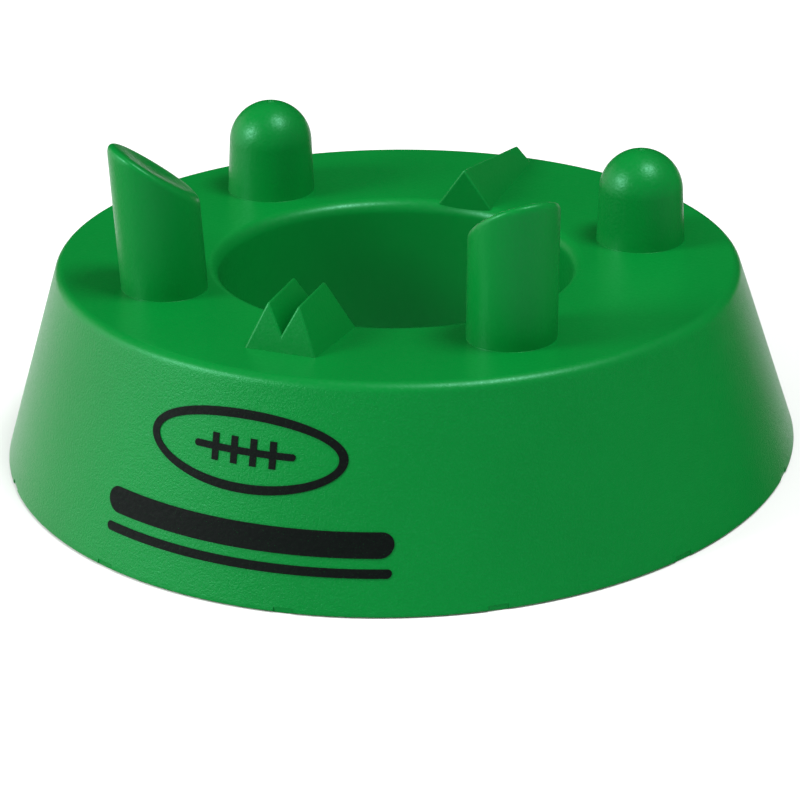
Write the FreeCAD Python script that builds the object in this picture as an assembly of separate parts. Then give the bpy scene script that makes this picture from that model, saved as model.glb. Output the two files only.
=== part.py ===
"""Rugby kicking tee: a hollow cone with a sloping deck, a round well and six prongs.

Millimetres, +Z up. The origin is the centre of the base on the ground. The tee is
mirror-symmetric about the Y-Z plane but for the ridges, which stand up to 1 mm off
it, the notches and the printed marks. The deck is highest at -Y, where the twin ridge
and the scooped posts stand, and lowest at +Y, where the wedge ridge and the dome
pegs stand. Sizes on the deck are (across, along, height): across is +X, along runs
down the slope towards +Y, and height is square to the deck.
"""
import FreeCAD, Part

import math
import os

Vector = FreeCAD.Vector

# Body
BASE_RADIUS = 75.1
WALL_LEAN = 0.2897            # the skirt's radius lost per mm of height
DECK_HEIGHT = 36.9            # top of the deck at the tee's axis
DECK_SLOPE_DEG = 3.78
DECK_EDGE_ROUND = 2.0
DECK_THICKNESS = 5.2
SKIRT_THICKNESS = 3.6         # measured level
WELL_RADIUS = 33.5            # at the top of the well
WELL_FOOT_RADIUS = 32.6
WELL_EDGE_ROUND = 2.4
WELL_WALL = 3.2
WELL_LIFT = 1.5               # the well's foot stays clear of the ground
FOOT_ROUND = 0.3

# Notches in the skirt's lower edge
NOTCH_COUNT = 12
NOTCH_TURN_DEG = 6.0
NOTCH_WIDTH = 3.8
NOTCH_HEIGHT = 1.0
NOTCH_DEPTH = 0.35

# Ribs under the deck
RIB_THICKNESS = 2.6
RIB_LIFT = 5.0
RIB_ANGLES_DEG = (37.0, 90.0, 143.0, 219.5, 270.0, 320.5)  # one under each prong

# Prongs
ROOT_ROUND = 0.4
ROOT_TRIM = 0.02              # a root round stops this far above its own tangent point

PEG_ACROSS = 38.45
PEG_ALONG = 29.15
PEG_RADIUS = 8.0
PEG_FOOT_RADIUS = 8.4
PEG_BALL_HEIGHT = 9.85        # centre of the domed end

POST_ACROSS = 34.75
POST_ALONG = -28.6
POST_RADIUS_IN = 8.1          # half-width towards the well
POST_RADIUS_ACROSS = 8.45     # half-width square to that
POST_LEAN_ACROSS = 0.045      # outward shift per mm of height
POST_LEAN_ALONG = -0.074      # and shift towards the high side
POST_AXIS_HEIGHT = 23.9       # height of the slanted top at the post's axis
POST_TOP_SLOPE = 0.69         # fall per mm towards the well
POST_EDGE_ROUND = 1.0
POST_BLANK_LENGTH = 45.0      # before the slanted top is cut
POST_SINK = 3.0               # blank length below the deck, trimmed off again

TWIN_ACROSS = -1.0            # the valley between the two crests
TWIN_HALF_SPACING = 3.0       # crest to valley
TWIN_HALF_WIDTH = 7.25        # at the deck, midway along
TWIN_HEIGHT = 9.4             # midway along
TWIN_VALLEY = 3.65            # height of the valley floor, midway along
TWIN_CREST_OUT = -50.2
TWIN_CREST_IN = -38.4
TWIN_FOOT_OUT = -52.1
TWIN_FOOT_IN = -34.7
CREST_ROUND = 0.2
RIDGE_SINK = 1.2              # ridges reach this far down, to fill in over the well's edge

WEDGE_ACROSS = 0.4
WEDGE_FOOT_IN = 34.1
WEDGE_CREST_IN = 33.5
WEDGE_CREST_OUT = 61.8
WEDGE_FOOT_OUT = 62.5
WEDGE_HEIGHT_IN = 7.5
WEDGE_HEIGHT_OUT = 3.4
WEDGE_HALF_WIDTH_IN = 5.3     # at the deck
WEDGE_HALF_WIDTH_OUT = 2.8

# Printed marks on the front of the skirt
INK = 0.15
MARK_ACROSS = -2.0            # middle of the marks
MARK_OVAL_WIDTH = 39.0
MARK_OVAL_HEIGHT = 14.6
MARK_OVAL_LINE = 1.6
MARK_OVAL_Z = 27.4
MARK_LACES = 4
MARK_LACE_WIDTH = 1.3
MARK_LACE_HEIGHT = 4.8
MARK_LACE_PITCH = 3.8
MARK_SEAM_WIDTH = 20.0
MARK_SEAM_HEIGHT = 1.2
MARK_BAR_WIDTH = 57.0
MARK_BAR_HEIGHTS = (4.6, 1.6)
MARK_BAR_CENTRES = (12.8, 7.8)

# Drawing aids
FAR = 200.0                   # larger than the tee
BLANK_HEIGHT = 60.0           # cones are this tall before the deck cuts them
PAST = 1.0                    # how far a cutting shape stands past what it cuts
TOUCH = 0.01                  # how near a place an edge lies to count as there
RIM_BAND = 2.5                # the sloping rims' radius strays less than this

SLOPE = math.tan(math.radians(DECK_SLOPE_DEG))
DECK = FreeCAD.Placement(
    Vector(0, 0, DECK_HEIGHT), FreeCAD.Rotation(Vector(1, 0, 0), -DECK_SLOPE_DEG)
)


def on_deck(shape):
    """Moves a shape drawn on a level deck at the origin to the sloping deck."""
    placed = shape.copy()
    placed.Placement = DECK.multiply(placed.Placement)
    return placed


def slab(low, high):
    """The layer between two heights measured square to the deck."""
    box = Part.makeBox(2 * FAR, 2 * FAR, high - low, Vector(-FAR, -FAR, low))
    return on_deck(box)


def polygon_face(points):
    return Part.Face(Part.makePolygon(list(points) + [points[0]]))


def outer_cone(inset=0.0):
    """The skirt's outer cone, moved in by a level inset."""
    foot = BASE_RADIUS - inset
    return Part.makeCone(foot, foot - WALL_LEAN * BLANK_HEIGHT, BLANK_HEIGHT)


def well_cone(wall=0.0):
    """The well's tapered bore, or its outside when a wall is added."""
    rate = (WELL_RADIUS - WELL_FOOT_RADIUS) / DECK_HEIGHT
    low = WELL_FOOT_RADIUS + wall - rate * PAST
    high = WELL_FOOT_RADIUS + wall + rate * BLANK_HEIGHT
    return Part.makeCone(low, high, BLANK_HEIGHT + PAST, Vector(0, 0, -PAST))


def rim_edges(shape, radius):
    """Round edges that lie on the deck's top at about one radius."""
    found = []
    for edge in shape.Edges:
        low, high = edge.ParameterRange
        points = [edge.valueAt(low + (high - low) * k / 8) for k in range(9)]
        off_deck = max(abs(p.z + SLOPE * p.y - DECK_HEIGHT) for p in points)
        off_radius = max(abs(math.hypot(p.x, p.y) - radius) for p in points)
        if off_deck < TOUCH and off_radius < RIM_BAND:
            found.append(edge)
    return found


def envelope():
    """The body's outside: the cone, cut by the sloping deck and bored for the well."""
    body = outer_cone().common(slab(-FAR, 0))
    rim_radius = BASE_RADIUS - WALL_LEAN * DECK_HEIGHT
    body = body.makeFillet(DECK_EDGE_ROUND, rim_edges(body, rim_radius))
    body = body.cut(well_cone())
    return body.makeFillet(WELL_EDGE_ROUND, rim_edges(body, WELL_RADIUS))


def deck_plate(body):
    return body.common(slab(-DECK_THICKNESS, PAST))


def below_deck(body):
    return body.common(slab(-FAR, -DECK_THICKNESS))


def skirt_wall(body):
    wall = below_deck(body).cut(outer_cone(SKIRT_THICKNESS))
    foot = [
        e for e in wall.Edges
        if e.BoundBox.ZMax < TOUCH and e.BoundBox.XMax > BASE_RADIUS - TOUCH
    ]
    wall = wall.makeFillet(FOOT_ROUND, foot)
    for k in range(NOTCH_COUNT):
        notch = Part.makeBox(
            NOTCH_DEPTH + PAST, NOTCH_WIDTH, NOTCH_HEIGHT + PAST,
            Vector(BASE_RADIUS - NOTCH_DEPTH, -NOTCH_WIDTH / 2, -PAST),
        )
        turn = NOTCH_TURN_DEG + 360.0 / NOTCH_COUNT * k
        notch.rotate(Vector(0, 0, 0), Vector(0, 0, 1), turn)
        wall = wall.cut(notch)
    return wall


def well_wall(body):
    wall = below_deck(body).common(well_cone(WELL_WALL))
    return wall.cut(Part.makeBox(2 * FAR, 2 * FAR, WELL_LIFT + PAST, Vector(-FAR, -FAR, -PAST)))


def rib(body, angle):
    """A radial web that joins the skirt, the deck and the well wall."""
    web = Part.makeBox(
        BASE_RADIUS, RIB_THICKNESS, FAR, Vector(WELL_RADIUS / 2, -RIB_THICKNESS / 2, RIB_LIFT)
    )
    web.rotate(Vector(0, 0, 0), Vector(0, 0, 1), angle)
    return below_deck(body).common(web).common(outer_cone(SKIRT_THICKNESS)).cut(well_cone(WELL_WALL))


def dome_peg(side):
    """A round peg with a ball end, turned about a line square to the deck."""
    foot = PEG_FOOT_RADIUS
    turn = math.asin(1 - ROOT_TRIM / ROOT_ROUND)
    centre = Vector(foot + ROOT_ROUND, 0, ROOT_ROUND - ROOT_TRIM)
    spread = centre + Vector(-math.cos(turn), 0, -math.sin(turn)) * ROOT_ROUND
    middle = centre + Vector(-math.cos(turn / 2), 0, -math.sin(turn / 2)) * ROOT_ROUND
    neck = centre - Vector(ROOT_ROUND, 0, 0)
    shoulder = Vector(PEG_RADIUS, 0, PEG_BALL_HEIGHT)
    brow = Vector(0, 0, PEG_BALL_HEIGHT) + Vector(1, 0, 1) * (PEG_RADIUS / math.sqrt(2))
    top = Vector(0, 0, PEG_BALL_HEIGHT + PEG_RADIUS)
    outline = Part.Wire([
        Part.makeLine(Vector(0, 0, 0), spread),
        Part.Arc(spread, middle, neck).toShape(),
        Part.makeLine(neck, shoulder),
        Part.Arc(shoulder, brow, top).toShape(),
        Part.makeLine(top, Vector(0, 0, 0)),
    ])
    peg = Part.Face(outline).revolve(Vector(0, 0, 0), Vector(0, 0, 1), 360)
    peg.translate(Vector(side * PEG_ACROSS, PEG_ALONG, 0))
    return on_deck(peg)


def scooped_post(side):
    """A leaning post with an oval section, whose slanted top faces the well."""
    reach = 4 * POST_RADIUS_ACROSS
    facing = math.degrees(math.atan2(side * POST_ACROSS, -POST_ALONG))
    shift = Vector(side * POST_LEAN_ACROSS, POST_LEAN_ALONG, 1)
    section = Part.Ellipse(Vector(0, 0, 0), POST_RADIUS_ACROSS, POST_RADIUS_IN)
    post = Part.Face(Part.Wire(section.toShape()))
    post.rotate(Vector(0, 0, 0), Vector(0, 0, 1), facing)
    post.translate(shift * -POST_SINK)
    post = post.extrude(shift * (POST_BLANK_LENGTH + POST_SINK))
    top = Part.makeBox(FAR, FAR, FAR, Vector(-FAR / 2, -FAR / 2, 0))
    top.rotate(Vector(0, 0, 0), Vector(1, 0, 0), -math.degrees(math.atan(POST_TOP_SLOPE)))
    top.rotate(Vector(0, 0, 0), Vector(0, 0, 1), facing)
    top.translate(shift * POST_AXIS_HEIGHT)
    post = post.cut(top)
    rim = [e for e in post.Edges if e.BoundBox.ZMin > POST_SINK]
    post = post.makeFillet(POST_EDGE_ROUND, rim)
    under = Vector(-reach, -reach, -POST_SINK - ROOT_TRIM)
    plate = Part.makeBox(2 * reach, 2 * reach, POST_SINK, under)
    post = post.fuse(plate)
    root = [
        e for e in post.Edges
        if abs(e.BoundBox.ZMin + ROOT_TRIM) < TOUCH and abs(e.BoundBox.ZMax + ROOT_TRIM) < TOUCH
        and e.BoundBox.XLength < reach
    ]
    post = post.makeFillet(ROOT_ROUND, root)
    post = post.common(Part.makeBox(FAR, FAR, FAR, Vector(-FAR / 2, -FAR / 2, 0)))
    post.translate(Vector(side * POST_ACROSS, POST_ALONG, 0))
    return on_deck(post)


def twin_ridge(body, side):
    """One half of the twin ridge: a level crest beside the valley between the halves."""
    middle = (TWIN_FOOT_OUT + TWIN_FOOT_IN) / 2
    deck_level = DECK_HEIGHT - SLOPE * middle
    flare = (TWIN_HALF_WIDTH - TWIN_HALF_SPACING) / TWIN_HEIGHT
    section = [
        Vector(0, -FAR / 2, deck_level - TWIN_HEIGHT),
        Vector(side * (TWIN_HALF_WIDTH + flare * TWIN_HEIGHT), -FAR / 2, deck_level - TWIN_HEIGHT),
        Vector(side * TWIN_HALF_SPACING, -FAR / 2, deck_level + TWIN_HEIGHT),
        Vector(0, -FAR / 2, deck_level + TWIN_VALLEY),
    ]
    bar = polygon_face(section).extrude(Vector(0, FAR, 0))
    lean_out = (TWIN_CREST_OUT - TWIN_FOOT_OUT) / TWIN_HEIGHT
    lean_in = (TWIN_CREST_IN - TWIN_FOOT_IN) / TWIN_HEIGHT
    low = -RIDGE_SINK
    high = 2 * TWIN_HEIGHT
    side_view = [
        Vector(-FAR / 2, TWIN_FOOT_OUT + lean_out * low, low),
        Vector(-FAR / 2, TWIN_FOOT_IN + lean_in * low, low),
        Vector(-FAR / 2, TWIN_FOOT_IN + lean_in * high, high),
        Vector(-FAR / 2, TWIN_FOOT_OUT + lean_out * high, high),
    ]
    ridge = bar.common(on_deck(polygon_face(side_view).extrude(Vector(FAR, 0, 0))))
    crest = [
        e for e in ridge.Edges
        if all(abs(v.X - side * TWIN_HALF_SPACING) < TOUCH for v in e.Vertexes)
    ]
    ridge = ridge.makeFillet(CREST_ROUND, crest)
    ridge.translate(Vector(TWIN_ACROSS, 0, 0))
    return ridge.cut(body)


def wedge_end(foot, crest, height, half_width):
    """The three-sided outline at one end of the wedge ridge, carried down into the deck."""
    half = half_width * (1 + RIDGE_SINK / height)
    along = foot + (foot - crest) / height * RIDGE_SINK
    points = [
        Vector(WEDGE_ACROSS - half, along, -RIDGE_SINK),
        Vector(WEDGE_ACROSS + half, along, -RIDGE_SINK),
        Vector(WEDGE_ACROSS, crest, height),
    ]
    return Part.makePolygon(points + [points[0]])


def wedge_ridge(body):
    """A three-sided ridge that runs out from the well and gets lower and narrower."""
    inner = wedge_end(WEDGE_FOOT_IN, WEDGE_CREST_IN, WEDGE_HEIGHT_IN, WEDGE_HALF_WIDTH_IN)
    outer = wedge_end(WEDGE_FOOT_OUT, WEDGE_CREST_OUT, WEDGE_HEIGHT_OUT, WEDGE_HALF_WIDTH_OUT)
    ridge = Part.makeLoft([inner, outer], True, True)
    crest = [e for e in ridge.Edges if all(v.Z > 0 for v in e.Vertexes)]
    return on_deck(ridge.makeFillet(CREST_ROUND, crest)).cut(body)


def ink_layer():
    """The thin layer just outside the skirt's cone, on the tee's front."""
    outside = outer_cone(-INK)
    front = Part.makeBox(FAR, FAR, FAR, Vector(-FAR / 2, -FAR, 0))
    return outside.cut(outer_cone()).common(front)


def rounded_bar(width, height, centre):
    """A flat bar with round ends, seen from the front, as deep as the tee."""
    half = width / 2 - height / 2
    depth = Vector(0, FAR / 2, 0)
    start = Vector(MARK_ACROSS, -FAR / 2, 0)
    bar = Part.makeBox(2 * half, FAR / 2, height, start + Vector(-half, 0, centre - height / 2))
    for end in (-half, half):
        cap = Part.makeCylinder(height / 2, depth.Length, start + Vector(end, 0, centre), depth)
        bar = bar.fuse(cap)
    return bar.removeSplitter()


def oval(width, height):
    """An upright oval bar centred on the oval mark."""
    curve = Part.Ellipse(Vector(0, 0, 0), width / 2, height / 2).toShape()
    face = Part.Face(Part.Wire(curve))
    face.rotate(Vector(0, 0, 0), Vector(1, 0, 0), 90)
    face.translate(Vector(MARK_ACROSS, 0, MARK_OVAL_Z))
    return face.extrude(Vector(0, -FAR / 2, 0))


def printed_oval():
    """The outline of a plain ball with its seam and laces, as separate strokes."""
    layer = ink_layer()
    ring = oval(MARK_OVAL_WIDTH, MARK_OVAL_HEIGHT)
    ring = ring.cut(oval(MARK_OVAL_WIDTH - 2 * MARK_OVAL_LINE, MARK_OVAL_HEIGHT - 2 * MARK_OVAL_LINE))
    strokes = rounded_bar(MARK_SEAM_WIDTH, MARK_SEAM_HEIGHT, MARK_OVAL_Z)
    for k in range(MARK_LACES):
        across = MARK_ACROSS + (k - (MARK_LACES - 1) / 2) * MARK_LACE_PITCH
        corner = Vector(across - MARK_LACE_WIDTH / 2, -FAR / 2, MARK_OVAL_Z - MARK_LACE_HEIGHT / 2)
        strokes = strokes.fuse(Part.makeBox(MARK_LACE_WIDTH, FAR / 2, MARK_LACE_HEIGHT, corner))
    return layer.common(ring), layer.common(strokes.removeSplitter())


def printed_bar(height, centre):
    return ink_layer().common(rounded_bar(MARK_BAR_WIDTH, height, centre))


def build():
    body = envelope()
    nodes = {
        "skirt_wall": skirt_wall(body),
        "deck_plate": deck_plate(body),
        "well_wall": well_wall(body),
        "wedge_ridge": wedge_ridge(body),
    }
    for number, angle in enumerate(RIB_ANGLES_DEG, 1):
        nodes[f"underside_rib_{number}"] = rib(body, angle)
    for name, side in (("left", -1), ("right", 1)):
        nodes[f"dome_peg_{name}"] = dome_peg(side)
        nodes[f"scooped_post_{name}"] = scooped_post(side)
        nodes[f"twin_ridge_{name}"] = twin_ridge(body, side)
    nodes["printed_ball_outline"], nodes["printed_ball_laces"] = printed_oval()
    for name, height, centre in zip(("upper", "lower"), MARK_BAR_HEIGHTS, MARK_BAR_CENTRES):
        nodes[f"printed_bar_{name}"] = printed_bar(height, centre)
    return nodes


def main():
    os.makedirs("parts", exist_ok=True)
    total = 0.0
    for name, shape in build().items():
        solids = shape.Solids
        clean = solids[0] if len(solids) == 1 else Part.makeCompound(solids)
        clean.exportStep(f"parts/{name}.step")
        total += clean.Volume
        box = clean.BoundBox
        print(f"{name:24s} solids {len(solids)} valid {clean.isValid()} volume {clean.Volume:9.1f}"
              f"  z {box.ZMin:6.2f} to {box.ZMax:6.2f}")
    print(f"total volume {total / 1000:.1f} cm3")


main()
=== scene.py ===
import math

import bmesh
import bpy
from mathutils import Matrix, Vector


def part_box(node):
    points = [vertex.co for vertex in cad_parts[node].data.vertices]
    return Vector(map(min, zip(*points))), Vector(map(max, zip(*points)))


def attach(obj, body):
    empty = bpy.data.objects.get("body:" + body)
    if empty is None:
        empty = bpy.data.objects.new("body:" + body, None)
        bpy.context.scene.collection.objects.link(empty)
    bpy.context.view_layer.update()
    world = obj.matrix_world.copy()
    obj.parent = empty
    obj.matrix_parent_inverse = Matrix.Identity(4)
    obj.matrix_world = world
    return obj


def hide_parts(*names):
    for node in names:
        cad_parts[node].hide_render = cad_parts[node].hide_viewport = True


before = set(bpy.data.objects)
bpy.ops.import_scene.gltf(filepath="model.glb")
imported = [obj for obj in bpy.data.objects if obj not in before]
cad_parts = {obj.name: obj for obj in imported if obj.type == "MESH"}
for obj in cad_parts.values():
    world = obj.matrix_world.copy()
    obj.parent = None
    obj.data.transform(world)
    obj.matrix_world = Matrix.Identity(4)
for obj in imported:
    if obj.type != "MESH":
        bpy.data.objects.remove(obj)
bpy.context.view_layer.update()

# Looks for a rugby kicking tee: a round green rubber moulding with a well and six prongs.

MM = 0.001
BODY = "root"

# Sizes in millimetres. Places come from the frame; these are shapes within a piece.
WALL_LEAN = 0.2897            # the skirt's radius lost per mm of height
DECK_EDGE_ROUND = 2.0
DECK_THICKNESS = 5.2
SKIRT_THICKNESS = 3.6
WELL_EDGE_ROUND = 2.4
WELL_WALL = 3.2
WELL_WIDENING = 0.9 / 36.9    # the well's radius gained per mm of height
WELL_FOOT_ROUND = 0.6
FOOT_ROUND = 0.3
FOOT_CORNER = 0.09            # how far the sharp foot corner would stand past its rounding

NOTCH_COUNT = 12
NOTCH_TURN = math.radians(6.0)
NOTCH_WIDTH = 3.8
NOTCH_HEIGHT = 1.0
NOTCH_DEPTH = 0.35
NOTCH_GAP = 0.0004            # angle in radians that the wall at a notch's end takes up

ROOT_ROUND = 0.05             # where a prong meets the deck
ROOT_SINK = 0.4               # how far a prong goes into the deck
PEG_RADIUS = 8.0
PEG_FOOT_RADIUS = 8.4
PEG_BALL_HEIGHT = 9.85
GATE_RADIUS = 1.0             # the moulding scar on a peg's top
GATE_LIP = 0.05               # its torn edge stands up by this much
GATE_DEPTH = 0.16
GATE_DIMPLE = 0.02            # a last drop at its middle
# from its rim inwards, as (share of its radius, height over the rim)
GATE_PROFILE = (
    (0.88, GATE_LIP), (0.68, GATE_LIP * 0.7), (0.5, -GATE_DEPTH), (0.25, -GATE_DEPTH * 0.7),
)
# its unevenness round a turn, as (height, waves in a turn, start in radians)
GATE_WAVES = ((0.04, 2, 1.0), (0.03, 7, 0.0))

POST_RADIUS_IN = 8.1
POST_RADIUS_ACROSS = 8.45
POST_LEAN_ACROSS = 0.045
POST_LEAN_ALONG = -0.074
POST_AXIS_HEIGHT = 23.9
POST_TOP_SLOPE = 0.69
POST_DISH = 0.55
POST_LIP_HIGH = 3.4           # reach of the rim's rounding at the tip
POST_LIP_SIDE = 2.0           # half-way round
POST_LIP_LOW = 1.8            # and at the low side, towards the well
POST_LIP_DROP = 0.9           # how far it goes down the wall, as a share of its reach

TWIN_HALF_SPACING = 3.0
TWIN_HALF_WIDTH = 7.25
TWIN_HEIGHT = 9.4
TWIN_VALLEY = 3.65
TWIN_FOOT_OUT = -52.1
TWIN_CREST_OUT = -50.2
TWIN_FOOT_IN = -34.7
TWIN_CREST_IN = -38.4

WEDGE_FOOT_IN = 34.1
WEDGE_CREST_IN = 33.5
WEDGE_FOOT_OUT = 62.5
WEDGE_CREST_OUT = 61.8
WEDGE_HEIGHT_IN = 7.5
WEDGE_HEIGHT_OUT = 3.4
WEDGE_HALF_WIDTH_IN = 5.3
WEDGE_HALF_WIDTH_OUT = 2.8
RIDGE_SINK = 1.0              # how far a ridge goes into the deck
RIDGE_EDGE = 0.55
RIDGE_EDGE_START = 1.0        # the wedge's edges are rounded above this height over the deck

# Mesh fineness, as the number of steps that a stretch is cut into
NOTCH_STEPS = 4
PLAIN_STEPS = 30              # from one notch to the next
FOOT_STEPS = 4                # round the skirt's foot, or up the inner wall of a notch
WALL_STEPS = 24               # the height of the skirt and of the well
HIDDEN_STEPS = 8              # a side that faces the inside of the tee
THICKNESS_STEPS = 2
ROOT_STEPS = 8
PEG_TURN_STEPS = 128
PEG_WALL_STEPS = 9
PEG_DOME_STEPS = 28
POST_TURN_STEPS = 144
POST_WALL_STEPS = 18
POST_LIP_STEPS = 10
POST_DISH_STEPS = 12
WEDGE_STEPS = 16
RIDGE_EDGE_STEPS = 4
CREASE = math.radians(32)     # a sharper edge than this isn't shaded smooth
TOUCH = 0.02                  # heights closer than this, in mm, count as level
WELD = 1e-7                   # points closer than this, in metres, are one

# Looks. Grain sizes and reliefs are in millimetres, and ranges are from low to high.
GREEN = (0.0, 0.205, 0.0265)
GREEN_DEEP = (0.0, 0.190, 0.0245)
# painted highlight: a paler green that stands in for light sparkling on the skirt's pebble tops
PAINTED_SPARKLE_GREEN = (0.0, 0.235, 0.036)
SPECULAR = 0.5
SPECULAR_TINT = (0.35, 1.0, 0.72, 1.0)
NOISE_RANGE = (0.3, 0.7)      # where most values of a noise lie
PATCH_SCALE = 28.0            # per metre: slow changes between the greens
PATCH_RANGE = (0.35, 0.65)
SKIRT_GRAIN = 0.45            # size of the skirt's pebbles
SKIRT_RELIEF = 0.12
SKIRT_ROUGHNESS = (0.28, 0.38)
SKIRT_RADIUS = (50.0, 54.0)   # the skirt's look comes in between these radii
SKIRT_TOP = (-1.8, -0.4)      # and goes out between these heights over the deck
SPARKLE_RANGE = (0.5, 0.74)       # the pebbles' tops, painted pale as a sparkle of light on the grain
SPARKLE_SHARE = 0.5
FINE_GRAIN = SKIRT_GRAIN / 4
FINE_RELIEF = SKIRT_RELIEF / 4
DECK_GRAIN = 0.6
DECK_RELIEF = 0.015
DECK_ROUGHNESS = (0.30, 0.44)
PRONG_RELIEF = 0.035
PRONG_START = (0.5, 3.0)      # the prongs' relief comes in between these heights over the deck

INK = (0.003, 0.006, 0.005)
INK_WORN = (0.0, 0.10, 0.02)
INK_SPECULAR = 0.12
INK_RELIEF = 0.10
INK_ROUGHNESS = (0.5, 0.66)
INK_GRAIN_SCALE = 1100.0      # per metre
INK_WEAR_SCALE = 5200.0
INK_WEAR_RANGE = (0.66, 0.74)
INK_WEAR_SHARE = 0.7

BLACK = (0.0, 0.0, 0.0, 1.0)
WHITE = (1.0, 1.0, 1.0, 1.0)
FLOOR_TONES = ((0.90, 0.90, 0.90), (0.92, 0.92, 0.92))
FLOOR_TONE_SCALE = 3.0
FLOOR_ROUGHNESS = 0.9

# The studio, in metres. A direction is given to the camera's right, upwards and towards it.
FLOOR_SIZE = 60.0
FLOOR_HEIGHT = -0.0002
SKY_STRENGTH = 0.60
LIGHT_AIM = Vector((0.0, 0.0, 0.03))
LIGHT_DISTANCE = 1.6
# round lights, as (name, direction, size, power)
LIGHTS = (
    ("light_left", (-0.83, 0.33, 0.45), 0.70, 18.0),
    ("light_top", (0.32, 0.80, 0.51), 0.60, 17.0),
)
CARD_DISTANCE = 1.5
CARD_STEPS = 24
# White cards, as (name, start, end, low, high, brightness). Angles are in degrees: start and end
# go leftwards from the camera's side of the tee, and low and high go up from the level.
CARDS = (
    ("sweep_left", 68.0, 122.0, -15.0, 30.0, 1.25),
    ("sweep_corner", 122.0, 145.0, -50.0, 25.0, 0.85),
    ("sweep_back", 145.0, 208.0, -50.0, -8.0, 1.3),
    ("sweep_right", 208.0, 218.0, -50.0, -5.0, 0.5),
)

# The camera, in millimetres
CAMERA_AZIMUTH = math.radians(23.24)
CAMERA_ELEVATION = math.radians(25.133)
CAMERA_ROLL = math.radians(-1.835)
CAMERA_DISTANCE = 1050.2
CAMERA_AIM_HEIGHT = 7.965
CAMERA_LENS = 247.5
CAMERA_REACH = 20000.0


# ---------------------------------------------------------------- places taken from the frame

def deck_plane():
    """The deck's height at the axis in mm, and its angle, from the deck plate's flat top."""
    height = 0.0
    slope = 0.0
    area = 0.0
    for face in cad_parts["deck_plate"].data.polygons:
        n = face.normal
        faces_up = n.z > 0.99
        falls_along_y = abs(n.x) < 0.001
        if faces_up and falls_along_y:
            area += face.area
            slope += face.area * n.y / n.z
            height += face.area * (face.center.z + face.center.y * n.y / n.z)
    return height / area / MM, math.atan(slope / area)


DECK_HEIGHT, DECK_ANGLE = deck_plane()
DECK_SLOPE = math.tan(DECK_ANGLE)
TO_WORLD = Matrix.Translation((0, 0, DECK_HEIGHT)) @ Matrix.Rotation(-DECK_ANGLE, 4, "X")
TO_DECK = TO_WORLD.inverted()
BASE_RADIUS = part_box("skirt_wall")[1][1] / MM + FOOT_CORNER
WELL_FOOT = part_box("well_wall")[0][2] / MM
WELL_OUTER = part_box("well_wall")[1][0] / MM
WELL_GROUND_RADIUS = WELL_OUTER - WELL_WALL - WELL_WIDENING * (DECK_HEIGHT - DECK_THICKNESS)


def foot_centre(node):
    """Where a prong stands on the deck: the middle of its footprint, in mm across and along."""
    points = [TO_DECK @ (v.co / MM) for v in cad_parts[node].data.vertices]
    foot = [p for p in points if abs(p.z) < TOUCH]
    across = [p.x for p in foot]
    along = [p.y for p in foot]
    return (min(across) + max(across)) / 2, (min(along) + max(along)) / 2


# ---------------------------------------------------------------- mesh building

def new_piece(name, points, faces, material, node):
    """Makes a closed rubber piece from points in mm, which stands for one CAD node."""
    mesh = bpy.data.meshes.new(name)
    mesh.from_pydata([Vector(p) * MM for p in points], [], faces)
    build = bmesh.new()
    build.from_mesh(mesh)
    bmesh.ops.remove_doubles(build, verts=build.verts, dist=WELD)
    bmesh.ops.recalc_face_normals(build, faces=build.faces)
    for face in build.faces:
        face.smooth = True
    for edge in build.edges:
        edge.smooth = len(edge.link_faces) == 2 and edge.calc_face_angle() < CREASE
    build.to_mesh(mesh)
    build.free()
    mesh.materials.append(material)
    piece = bpy.data.objects.new(name, mesh)
    bpy.context.collection.objects.link(piece)
    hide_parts(node)
    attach(piece, BODY)
    return piece


def swept_ring(sections):
    """Joins closed sections, one for each step of a full turn, into one ring."""
    count = len(sections[0])
    points = [p for section in sections for p in section]
    faces = []
    for i in range(len(sections)):
        j = (i + 1) % len(sections)
        for a in range(count):
            b = (a + 1) % count
            faces.append((i * count + a, j * count + a, j * count + b, i * count + b))
    return points, faces


def stacked_rings(rings, top):
    """Joins rings from the foot up, closes the foot flat and draws the last ring in to a point."""
    count = len(rings[0])
    points = [p for ring in rings for p in ring] + [top]
    faces = [tuple(range(count))]
    for level in range(len(rings) - 1):
        for a in range(count):
            b = (a + 1) % count
            low = level * count
            high = low + count
            faces.append((low + a, low + b, high + b, high + a))
    last = (len(rings) - 1) * count
    for a in range(count):
        faces.append((last + a, last + (a + 1) % count, len(points) - 1))
    return points, faces


def rounded_corner(corner, start, end, radius, steps):
    """Points of the arc that rounds a flat corner. start and end are the directions away from it."""
    start = start.normalized()
    end = end.normalized()
    half = start.angle(end) / 2
    middle = corner + (start + end).normalized() * (radius / math.sin(half))
    reach = radius / math.tan(half)
    first = corner + start * reach - middle
    last = corner + end * reach - middle
    turn = first.angle_signed(last)
    return [middle + Matrix.Rotation(-turn * k / steps, 2) @ first for k in range(steps + 1)]


def line(a, b, steps):
    """Evenly spaced points from a towards b, without b."""
    return [a.lerp(b, k / steps) for k in range(steps)]


def full_turn(steps):
    """Evenly spaced angles round a full turn."""
    return [2 * math.pi * k / steps for k in range(steps)]


def to_world(points):
    """Moves points from the deck's own axes to the world's, in mm."""
    return [TO_WORLD @ Vector(p) for p in points]


# ---------------------------------------------------------------- the hollow body
# Its sections are flat, as (radius, height) in mm.

INWARD = Vector((-1.0, 0.0))
OUTWARD = Vector((1.0, 0.0))
UP_CONE = Vector((-WALL_LEAN, 1.0))
UP_WELL = Vector((WELL_WIDENING, 1.0))


def in_turn(angle, flat):
    """Turns points (radius, height) to an angle round the tee's axis."""
    return [(p.x * math.cos(angle), p.x * math.sin(angle), p.y) for p in flat]


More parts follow.
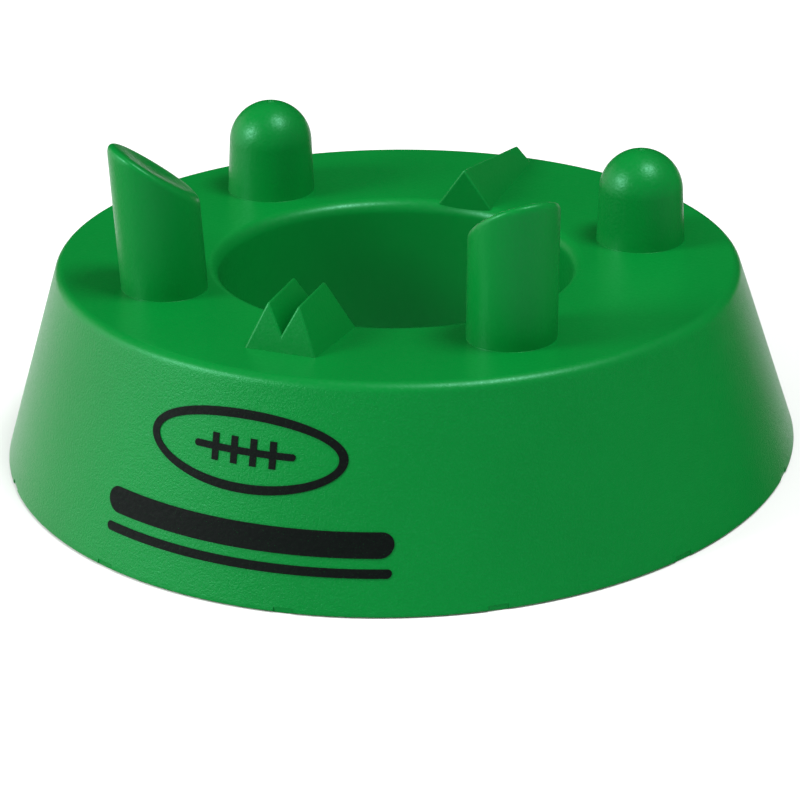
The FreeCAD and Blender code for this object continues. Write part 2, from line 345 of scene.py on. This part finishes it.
def on_wall(angle, drop, ground_radius, widening):
    """Where a round wall, at one angle, meets the plane that lies a drop below the deck. The wall
    has ground_radius at the ground, and widening is the radius that it gains per mm of height."""
    level = DECK_HEIGHT - drop / math.cos(DECK_ANGLE)
    tilt = DECK_SLOPE * math.sin(angle)
    radius = (ground_radius + widening * level) / (1 + widening * tilt)
    return Vector((radius, level - tilt * radius))


def on_cone(angle, drop, inset=0.0):
    """The same for the skirt's outside, or for a wall inset from it."""
    return on_wall(angle, drop, BASE_RADIUS - inset, -WALL_LEAN)


def on_well(angle, drop, wall=0.0):
    """The same for the well's bore, or for the outside of its wall."""
    return on_wall(angle, drop, WELL_GROUND_RADIUS + wall, WELL_WIDENING)


def skirt_section(angle, notched):
    """The skirt's outline at one angle. Both forms have the same number of points."""
    outer_top = on_cone(angle, DECK_THICKNESS)
    inner_top = on_cone(angle, DECK_THICKNESS, SKIRT_THICKNESS)
    step = Vector((BASE_RADIUS - NOTCH_DEPTH, 0.0))
    ceiling = Vector((BASE_RADIUS - WALL_LEAN * NOTCH_HEIGHT, NOTCH_HEIGHT))
    if notched:
        inner = Vector((step.x, NOTCH_HEIGHT))
        edge = line(step, inner, FOOT_STEPS + 1)[1:] + [inner]
    else:
        edge = rounded_corner(Vector((BASE_RADIUS, 0.0)), INWARD, UP_CONE, FOOT_ROUND, FOOT_STEPS)
    foot_inside = Vector((BASE_RADIUS - SKIRT_THICKNESS, 0.0))
    flat = [step] + edge + [ceiling]
    flat += line(ceiling, outer_top, WALL_STEPS)[1:]
    flat += line(outer_top, inner_top, THICKNESS_STEPS)
    flat += line(inner_top, foot_inside, HIDDEN_STEPS)
    flat += rounded_corner(foot_inside, UP_CONE, OUTWARD, FOOT_ROUND, steps=3)
    return in_turn(angle, flat)


def skirt_columns():
    """Angles round the skirt with close pairs at each notch wall, as (angle, inside a notch)."""
    notch = NOTCH_WIDTH / BASE_RADIUS
    pitch = 2 * math.pi / NOTCH_COUNT
    plain = pitch - notch - 2 * NOTCH_GAP
    columns = []
    for k in range(NOTCH_COUNT):
        start = NOTCH_TURN + pitch * k - notch / 2
        columns += [(start + notch * n / NOTCH_STEPS, True) for n in range(NOTCH_STEPS + 1)]
        start += notch + NOTCH_GAP
        columns += [(start + plain * n / PLAIN_STEPS, False) for n in range(PLAIN_STEPS + 1)]
    return columns


def add_skirt(material):
    sections = [skirt_section(angle, notched) for angle, notched in skirt_columns()]
    new_piece("skirt", *swept_ring(sections), material, "skirt_wall")


def deck_section(angle):
    """The deck plate's outline at one angle: rounded outer edge, flat top, rounded well edge."""
    level_in = Vector((-1.0, DECK_SLOPE * math.sin(angle)))
    edge = rounded_corner(on_cone(angle, 0.0), -UP_CONE, level_in, DECK_EDGE_ROUND, steps=14)
    rim = rounded_corner(on_well(angle, 0.0), -level_in, -UP_WELL, WELL_EDGE_ROUND, steps=12)
    outer = on_cone(angle, DECK_THICKNESS)
    inner = on_well(angle, DECK_THICKNESS)
    flat = line(outer, edge[0], steps=3) + edge[:-1]
    flat += line(edge[-1], rim[0], steps=20) + rim[:-1]
    flat += line(rim[-1], inner, steps=3)
    flat += line(inner, outer, HIDDEN_STEPS)
    return in_turn(angle, flat)


def add_deck(material):
    sections = [deck_section(angle) for angle, _ in skirt_columns()]
    new_piece("deck", *swept_ring(sections), material, "deck_plate")


def well_section(angle):
    """The well wall's outline at one angle, with a rounded foot."""
    bore = on_well(angle, DECK_THICKNESS)
    back = on_well(angle, DECK_THICKNESS, WELL_WALL)
    foot = Vector((WELL_GROUND_RADIUS + WELL_WIDENING * WELL_FOOT, WELL_FOOT))
    heel = foot + OUTWARD * WELL_WALL
    flat = line(bore, foot, WALL_STEPS)
    flat += rounded_corner(foot, UP_WELL, OUTWARD, WELL_FOOT_ROUND, steps=5)
    flat += rounded_corner(heel, INWARD, UP_WELL, WELL_FOOT_ROUND, steps=5)
    flat += line(heel, back, HIDDEN_STEPS)[1:]
    flat += line(back, bore, THICKNESS_STEPS)
    return in_turn(angle, flat)


def add_well(material):
    sections = [well_section(angle) for angle, _ in skirt_columns()]
    new_piece("well", *swept_ring(sections), material, "well_wall")


# ---------------------------------------------------------------- prongs
# They are built on the deck's own axes: across, along and up from it.

def root_flare():
    """(outward, upward) offsets of the round where a prong grows out of the deck."""
    turns = [math.pi / 2 * k / ROOT_STEPS for k in range(ROOT_STEPS)]
    flare = [(ROOT_ROUND * (1 - math.sin(t)), ROOT_ROUND * (1 - math.cos(t))) for t in turns]
    return [(ROOT_ROUND, -ROOT_SINK)] + flare


def peg_profile():
    """(radius, height) of a dome peg from its foot to the moulding scar on its top."""
    profile = [(PEG_FOOT_RADIUS + out, up) for out, up in root_flare()]
    foot = Vector((PEG_FOOT_RADIUS, ROOT_ROUND))
    ball = Vector((PEG_RADIUS, PEG_BALL_HEIGHT))
    profile += [tuple(p) for p in line(foot, ball, PEG_WALL_STEPS)]
    scar = math.asin(GATE_RADIUS / PEG_RADIUS)
    for k in range(PEG_DOME_STEPS + 1):
        turn = (math.pi / 2 - scar) * k / PEG_DOME_STEPS
        profile.append((PEG_RADIUS * math.cos(turn), PEG_BALL_HEIGHT + PEG_RADIUS * math.sin(turn)))
    rim = profile[-1][1]
    return profile + [(GATE_RADIUS * share, rim + rise) for share, rise in GATE_PROFILE]


def torn(turn):
    """How far the scar rises or falls at one turn, in mm."""
    return sum(rise * math.sin(waves * turn + start) for rise, waves, start in GATE_WAVES)


def add_peg(side, material):
    node = "dome_peg_" + side
    across, along = foot_centre(node)
    profile = peg_profile()
    rings = []
    for level, (radius, height) in enumerate(profile):
        in_scar = level >= len(profile) - len(GATE_PROFILE)
        ring = []
        for turn in full_turn(PEG_TURN_STEPS):
            up = height + torn(turn) if in_scar else height
            ring.append((across + radius * math.cos(turn), along + radius * math.sin(turn), up))
        rings.append(to_world(ring))
    top = to_world([(across, along, profile[-1][1] - GATE_DIMPLE)])[0]
    new_piece("peg_" + side, *stacked_rings(rings, top), material, node)


def post_wall(turn, height, out=0.0):
    """A point on an upright post's wall, facing +Y, before it is turned and leaned."""
    normal = Vector((math.cos(turn) / POST_RADIUS_ACROSS, math.sin(turn) / POST_RADIUS_IN, 0.0))
    point = Vector((POST_RADIUS_ACROSS * math.cos(turn), POST_RADIUS_IN * math.sin(turn), height))
    return point + normal.normalized() * out


def post_rim(turn, fall):
    """The sharp rim of the slanted top, before it is rounded. fall is per mm in X and in Y."""
    flat = post_wall(turn, 0.0)
    return Vector((flat.x, flat.y, POST_AXIS_HEIGHT - fall.x * flat.x - fall.y * flat.y))


def lip_reach(turn):
    """How far the rim's rounding reaches: longest at the tip, shortest at the low side."""
    low = max(0.0, math.sin(turn)) ** 2
    high = max(0.0, -math.sin(turn)) ** 4
    reach = POST_LIP_SIDE + (POST_LIP_LOW - POST_LIP_SIDE) * low
    return reach + (POST_LIP_HIGH - POST_LIP_SIDE) * high


def post_column(turn, fall, centre):
    """Points at one turn up a post's wall, over its rim and across its dish, short of the centre."""
    column = [post_wall(turn, height, out) for out, height in root_flare()]
    rim = post_rim(turn, fall)
    reach = lip_reach(turn)
    start = post_wall(turn, ROOT_ROUND)
    below = post_wall(turn, rim.z - reach * POST_LIP_DROP)
    inside = rim + (centre - rim).normalized() * reach
    column += line(start, below, POST_WALL_STEPS)
    for k in range(POST_LIP_STEPS + 1):
        t = k / POST_LIP_STEPS
        column.append(below * (1 - t) ** 2 + rim * (2 * t * (1 - t)) + inside * t ** 2)
    for k in range(1, POST_DISH_STEPS):
        share = 1 - k / POST_DISH_STEPS
        dish = POST_DISH * (1 - share ** 2) ** 2
        column.append(centre + (inside - centre) * share - Vector((0.0, 0.0, dish)))
    return column


def add_post(side, sign, material):
    node = "scooped_post_" + side
    across, along = foot_centre(node)
    lean = Matrix.Identity(4)
    lean[0][2] = sign * POST_LEAN_ACROSS
    lean[1][2] = POST_LEAN_ALONG
    facing = Matrix.Rotation(math.atan2(across, -along), 4, "Z")
    place = Matrix.Translation((across, along, 0)) @ lean @ facing
    # the slanted top is a plane after leaning, so its fall is carried back to the upright post
    tilt = (lean @ facing).transposed() @ facing @ Vector((0.0, POST_TOP_SLOPE, 1.0, 0.0))
    fall = Vector((tilt.x / tilt.z, tilt.y / tilt.z))
    centre = Vector((0.0, 0.0, POST_AXIS_HEIGHT))
    columns = [post_column(turn, fall, centre) for turn in full_turn(POST_TURN_STEPS)]
    rings = [to_world([place @ point for point in ring]) for ring in zip(*columns)]
    top = to_world([place @ (centre - Vector((0.0, 0.0, POST_DISH)))])[0]
    new_piece("post_" + side, *stacked_rings(rings, top), material, node)


# ---------------------------------------------------------------- sighting ridges

def end_plane(height, foot, crest, rise):
    """World Y at a world height on a ridge's end face, which leans from foot to crest."""
    lean = (crest - foot) / rise
    above = height - DECK_HEIGHT
    sine = math.sin(DECK_ANGLE)
    cosine = math.cos(DECK_ANGLE)
    return (foot + above * (sine + lean * cosine)) / (cosine - lean * sine)


def round_edges(piece, wanted):
    """Rounds a piece's sharp edges where wanted(a point in mm) holds for either end. The faces
    between them keep their own flat shading."""
    build = bmesh.new()
    build.from_mesh(piece.data)
    edges = [
        e for e in build.edges
        if e.calc_face_angle() > CREASE and any(wanted(v.co / MM) for v in e.verts)
    ]
    bevel = bmesh.ops.bevel(
        build, geom=edges, offset=RIDGE_EDGE * MM, offset_type="WIDTH", segments=RIDGE_EDGE_STEPS,
        profile=0.5, affect="EDGES", clamp_overlap=True,
    )
    rounded = set(bevel["faces"])
    for face in build.faces:
        face.smooth = True
    for edge in build.edges:
        alike = len({face in rounded for face in edge.link_faces}) == 1
        edge.smooth = alike and edge.calc_face_angle() < CREASE
    build.to_mesh(piece.data)
    build.free()


def add_twin_ridge(side, sign, material):
    """One half of the twin ridge, from the valley between the halves to its outer flank."""
    node = "twin_ridge_" + side
    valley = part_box("twin_ridge_left")[1][0] / MM
    level = DECK_HEIGHT - DECK_SLOPE * (TWIN_FOOT_OUT + TWIN_FOOT_IN) / 2
    flare = (TWIN_HALF_WIDTH - TWIN_HALF_SPACING) / TWIN_HEIGHT
    low = DECK_HEIGHT - DECK_SLOPE * TWIN_FOOT_IN - RIDGE_SINK / 2
    crest = level + TWIN_HEIGHT
    section = [
        (0.0, low),
        (TWIN_HALF_SPACING + flare * (crest - low), low),
        (TWIN_HALF_SPACING, crest),
        (0.0, level + TWIN_VALLEY),
    ]
    points = []
    for foot, top in ((TWIN_FOOT_OUT, TWIN_CREST_OUT), (TWIN_FOOT_IN, TWIN_CREST_IN)):
        for across, height in section:
            along = end_plane(height, foot, top, TWIN_HEIGHT)
            points.append((valley + sign * across, along, height))
    # points 0 to 3 are the outer end's and 4 to 7 the inner end's
    faces = [(0, 1, 2, 3), (7, 6, 5, 4), (0, 4, 5, 1), (1, 5, 6, 2), (2, 6, 7, 3), (3, 7, 4, 0)]
    piece = new_piece("sight_twin_" + side, points, faces, material, node)
    round_edges(piece, lambda point: point.z > crest - TOUCH)


def add_wedge_ridge(material):
    """The single ridge on the low side, a long wedge that gets lower and narrower outwards."""
    low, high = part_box("wedge_ridge")
    middle = (low[0] + high[0]) / 2 / MM
    ends = []
    for foot, crest, height, half_width in (
        (WEDGE_FOOT_IN, WEDGE_CREST_IN, WEDGE_HEIGHT_IN, WEDGE_HALF_WIDTH_IN),
        (WEDGE_FOOT_OUT, WEDGE_CREST_OUT, WEDGE_HEIGHT_OUT, WEDGE_HALF_WIDTH_OUT),
    ):
        half = half_width * (1 + RIDGE_SINK / height)
        along = foot + (foot - crest) / height * RIDGE_SINK
        left = Vector((middle - half, along, -RIDGE_SINK))
        right = Vector((middle + half, along, -RIDGE_SINK))
        ends.append((left, right, Vector((middle, crest, height))))
    points = []
    for k in range(WEDGE_STEPS + 1):
        points += [a.lerp(b, k / WEDGE_STEPS) for a, b in zip(*ends)]
    # three points at each step: left, right and crest
    last = 3 * WEDGE_STEPS
    faces = [(0, 1, 2), (last + 2, last + 1, last)]
    for k in range(0, last, 3):
        for a, b in ((0, 1), (1, 2), (2, 0)):
            faces.append((k + a, k + 3 + a, k + 3 + b, k + b))
    piece = new_piece("sight_wedge", to_world(points), faces, material, "wedge_ridge")
    round_edges(piece, lambda point: (TO_DECK @ point).z > RIDGE_EDGE_START)


# ---------------------------------------------------------------- materials

# A Mix node's sockets by the kind of value: first input, second input, result
MIX_SOCKETS = {"FLOAT": (2, 3, 0), "RGBA": (6, 7, 2)}


def new_material(name):
    """Makes a material, and returns it with its node tree and its shader."""
    material = bpy.data.materials.new(name)
    material.use_nodes = True
    tree = material.node_tree
    return material, tree, tree.nodes["Principled BSDF"]


def add_node(tree, kind, **values):
    """Adds a node. Each value goes to the input of that name, or else to the node's property."""
    node = tree.nodes.new(kind)
    for key, value in values.items():
        if key in node.inputs:
            node.inputs[key].default_value = value
        else:
            setattr(node, key, value)
    return node


def noise(tree, place, scale, detail=2.0, roughness=0.5):
    """Noise at a scale per metre, in the object's own coordinates."""
    node = add_node(tree, "ShaderNodeTexNoise", Scale=scale, Detail=detail, Roughness=roughness)
    tree.links.new(place.outputs["Object"], node.inputs["Vector"])
    return node.outputs["Fac"]


def remap(tree, value, source, target=(0.0, 1.0)):
    """Stretches a value's range, from source to target, and holds it at their ends."""
    node = add_node(tree, "ShaderNodeMapRange")
    for key, end in zip(("From Min", "From Max", "To Min", "To Max"), (*source, *target)):
        node.inputs[key].default_value = end
    tree.links.new(value, node.inputs["Value"])
    return node.outputs["Result"]


def mix(tree, kind, factor, first, second):
    """Mixes two values of one kind. A colour can be a fixed one or another node's output."""
    in_first, in_second, result = MIX_SOCKETS[kind]
    node = add_node(tree, "ShaderNodeMix", data_type=kind)
    tree.links.new(factor, node.inputs["Factor"])
    for key, value in ((in_first, first), (in_second, second)):
        if isinstance(value, tuple):
            node.inputs[key].default_value = (*value, 1.0)
        else:
            tree.links.new(value, node.inputs[key])
    return node.outputs[result]


def arithmetic(tree, operation, first, second):
    """Combines an output with a number or with another output."""
    node = add_node(tree, "ShaderNodeMath", operation=operation)
    for key, value in ((0, first), (1, second)):
        if isinstance(value, float):
            node.inputs[key].default_value = value
        else:
            tree.links.new(value, node.inputs[key])
    return node.outputs[0]


def bump(tree, height, depth, normal=None):
    """Adds relief with a depth in mm."""
    node = add_node(tree, "ShaderNodeBump", Distance=depth * MM)
    tree.links.new(height, node.inputs["Height"])
    if normal:
        tree.links.new(normal, node.inputs["Normal"])
    return node.outputs["Normal"]


def surface_shares(tree, place):
    """Two masks: 1 on the skirt's grained outside, up to the deck's edge, and 1 on the prongs."""
    split = add_node(tree, "ShaderNodeSeparateXYZ")
    tree.links.new(place.outputs["Object"], split.inputs["Vector"])
    x, y, z = (split.outputs[key] for key in ("X", "Y", "Z"))
    level = arithmetic(tree, "ADD", z, arithmetic(tree, "MULTIPLY", y, DECK_SLOPE))
    below = remap(tree, level, [(DECK_HEIGHT + h) * MM for h in SKIRT_TOP], (1.0, 0.0))
    above = remap(tree, level, [(DECK_HEIGHT + h) * MM for h in PRONG_START])
    squares = [arithmetic(tree, "POWER", side, 2.0) for side in (x, y)]
    square = arithmetic(tree, "ADD", *squares)
    outside = remap(tree, square, [(radius * MM) ** 2 for radius in SKIRT_RADIUS])
    return arithmetic(tree, "MULTIPLY", below, outside), above


def green_rubber():
    """Moulded green rubber: pebbled on the skirt, with a painted pale sparkle on the pebble tops,
    and satin on the deck and the prongs.
    """
    material, tree, shader = new_material("green_rubber")
    place = add_node(tree, "ShaderNodeTexCoord")
    skirt, prong = surface_shares(tree, place)
    patches = noise(tree, place, PATCH_SCALE, detail=3.0)
    pebble = noise(tree, place, 1 / (SKIRT_GRAIN * MM), detail=3.0, roughness=0.6)
    fine = noise(tree, place, 1 / (FINE_GRAIN * MM), roughness=0.6)
    satin = noise(tree, place, 1 / (DECK_GRAIN * MM))
    colour = mix(tree, "RGBA", remap(tree, patches, PATCH_RANGE), GREEN, GREEN_DEEP)
    # painted sparkle: the skirt's pebble tops get a paler green in place of light glinting off the
    # grain
    sparkle_tops = remap(tree, pebble, SPARKLE_RANGE, (0.0, SPARKLE_SHARE))
    painted_sparkle = arithmetic(tree, "MULTIPLY", sparkle_tops, skirt)
    tree.links.new(mix(tree, "RGBA", painted_sparkle, colour, PAINTED_SPARKLE_GREEN), shader.inputs["Base Color"])
    on_deck = remap(tree, satin, NOISE_RANGE, DECK_ROUGHNESS)
    on_skirt = remap(tree, pebble, NOISE_RANGE, SKIRT_ROUGHNESS)
    tree.links.new(mix(tree, "FLOAT", skirt, on_deck, on_skirt), shader.inputs["Roughness"])
    relief = bump(tree, satin, DECK_RELIEF)
    for grain, share, depth in (
        (satin, prong, PRONG_RELIEF),
        (pebble, skirt, SKIRT_RELIEF),
        (fine, skirt, FINE_RELIEF),
    ):
        relief = bump(tree, arithmetic(tree, "MULTIPLY", grain, share), depth, relief)
    tree.links.new(relief, shader.inputs["Normal"])
    shader.inputs["Specular IOR Level"].default_value = SPECULAR
    shader.inputs["Specular Tint"].default_value = SPECULAR_TINT
    return material


def black_ink():
    """Printed ink, worn thin over the grain so that a little green shows through."""
    material, tree, shader = new_material("printed_ink")
    place = add_node(tree, "ShaderNodeTexCoord")
    grain = noise(tree, place, INK_GRAIN_SCALE, detail=3.0, roughness=0.55)
    wear = noise(tree, place, INK_WEAR_SCALE, roughness=0.6)
    thin = remap(tree, wear, INK_WEAR_RANGE, (0.0, INK_WEAR_SHARE))
    tree.links.new(mix(tree, "RGBA", thin, INK, INK_WORN), shader.inputs["Base Color"])
    tree.links.new(remap(tree, grain, NOISE_RANGE, INK_ROUGHNESS), shader.inputs["Roughness"])
    tree.links.new(bump(tree, grain, INK_RELIEF), shader.inputs["Normal"])
    shader.inputs["Specular IOR Level"].default_value = INK_SPECULAR
    return material


def pale_floor():
    """Dull off-white paper, barely uneven in tone."""
    material, tree, shader = new_material("studio_floor")
    place = add_node(tree, "ShaderNodeTexCoord")
    tone = remap(tree, noise(tree, place, FLOOR_TONE_SCALE), NOISE_RANGE)
    tree.links.new(mix(tree, "RGBA", tone, *FLOOR_TONES), shader.inputs["Base Color"])
    shader.inputs["Roughness"].default_value = FLOOR_ROUGHNESS
    shader.inputs["Specular IOR Level"].default_value = 0.0
    return material


def white_glow(name, brightness):
    """An even white glow that reflects nothing. Only a ray that meets it picks it up."""
    material, _, shader = new_material(name)
    shader.inputs["Base Color"].default_value = BLACK
    shader.inputs["Specular IOR Level"].default_value = 0.0
    shader.inputs["Emission Color"].default_value = WHITE
    shader.inputs["Emission Strength"].default_value = brightness
    material.cycles.emission_sampling = "NONE"
    return material


# ---------------------------------------------------------------- studio

def camera_axes():
    """The camera's right, up and backward directions in the world."""
    flat = Vector((math.sin(CAMERA_AZIMUTH), -math.cos(CAMERA_AZIMUTH), 0.0))
    back = flat * math.cos(CAMERA_ELEVATION) + Vector((0.0, 0.0, math.sin(CAMERA_ELEVATION)))
    right = Vector((math.cos(CAMERA_AZIMUTH), math.sin(CAMERA_AZIMUTH), 0.0))
    up = back.cross(right)
    turn_right = right * math.cos(CAMERA_ROLL) + up * math.sin(CAMERA_ROLL)
    turn_up = up * math.cos(CAMERA_ROLL) - right * math.sin(CAMERA_ROLL)
    return turn_right, turn_up, back


def add_camera():
    right, up, back = camera_axes()
    camera = bpy.data.objects.new("camera", bpy.data.cameras.new("camera"))
    bpy.context.collection.objects.link(camera)
    centre = Vector((0.0, 0.0, CAMERA_AIM_HEIGHT)) + back * CAMERA_DISTANCE
    turn = Matrix((right, up, back)).transposed().to_4x4()
    camera.matrix_world = Matrix.Translation(centre * MM) @ turn
    camera.data.lens = CAMERA_LENS
    camera.data.clip_end = CAMERA_REACH * MM
    bpy.context.scene.camera = camera


def add_light(name, direction, size, power):
    """A round soft light that faces the tee."""
    away = sum((axis * share for axis, share in zip(camera_axes(), direction)), Vector())
    away.normalize()
    data = bpy.data.lights.new(name, "AREA")
    data.shape = "DISK"
    data.size = size
    data.energy = power
    light = bpy.data.objects.new(name, data)
    bpy.context.collection.objects.link(light)
    light.location = LIGHT_AIM + away * LIGHT_DISTANCE
    light.rotation_euler = away.to_track_quat("Z", "Y").to_euler()


def add_card(name, start, end, low, high, brightness):
    """A curved white card round part of the tee. Only reflections see it."""
    points = []
    for k in range(CARD_STEPS + 1):
        turn = CAMERA_AZIMUTH - math.radians(90.0 + start + (end - start) * k / CARD_STEPS)
        for rise in (low, high):
            height = CARD_DISTANCE * math.tan(math.radians(rise))
            points.append((CARD_DISTANCE * math.cos(turn), CARD_DISTANCE * math.sin(turn), height))
    faces = [(2 * k, 2 * k + 2, 2 * k + 3, 2 * k + 1) for k in range(CARD_STEPS)]
    mesh = bpy.data.meshes.new(name)
    mesh.from_pydata(points, [], faces)
    mesh.materials.append(white_glow(name, brightness))
    card = bpy.data.objects.new(name, mesh)
    bpy.context.collection.objects.link(card)
    card.visible_camera = False
    card.visible_diffuse = False
    card.visible_shadow = False


def add_floor():
    bpy.ops.mesh.primitive_plane_add(size=FLOOR_SIZE, location=(0.0, 0.0, FLOOR_HEIGHT))
    floor = bpy.context.active_object
    floor.name = "floor"
    floor.data.materials.append(pale_floor())
    floor.visible_glossy = False


def add_sky():
    world = bpy.data.worlds.new("studio")
    bpy.context.scene.world = world
    world.use_nodes = True
    sky = world.node_tree.nodes["Background"]
    sky.inputs["Color"].default_value = WHITE
    sky.inputs["Strength"].default_value = SKY_STRENGTH
    world.cycles_visibility.glossy = False


def add_studio():
    """Two soft lights and a white sky light the tee, and the cards give its skirt a pale sheen."""
    add_floor()
    for light in LIGHTS:
        add_light(*light)
    for card in CARDS:
        add_card(*card)
    add_sky()
    bpy.context.scene.view_settings.view_transform = "Standard"


def main():
    rubber = green_rubber()
    ink = black_ink()
    add_skirt(rubber)
    add_deck(rubber)
    add_well(rubber)
    for side, sign in (("left", -1.0), ("right", 1.0)):
        add_peg(side, rubber)
        add_post(side, sign, rubber)
        add_twin_ridge(side, sign, rubber)
    add_wedge_ridge(rubber)
    for name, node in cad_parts.items():
        if name.startswith("printed_"):
            node.data.materials[0] = ink
        if name.startswith("underside_rib_"):
            node.data.materials[0] = rubber
    add_studio()
    add_camera()


main()
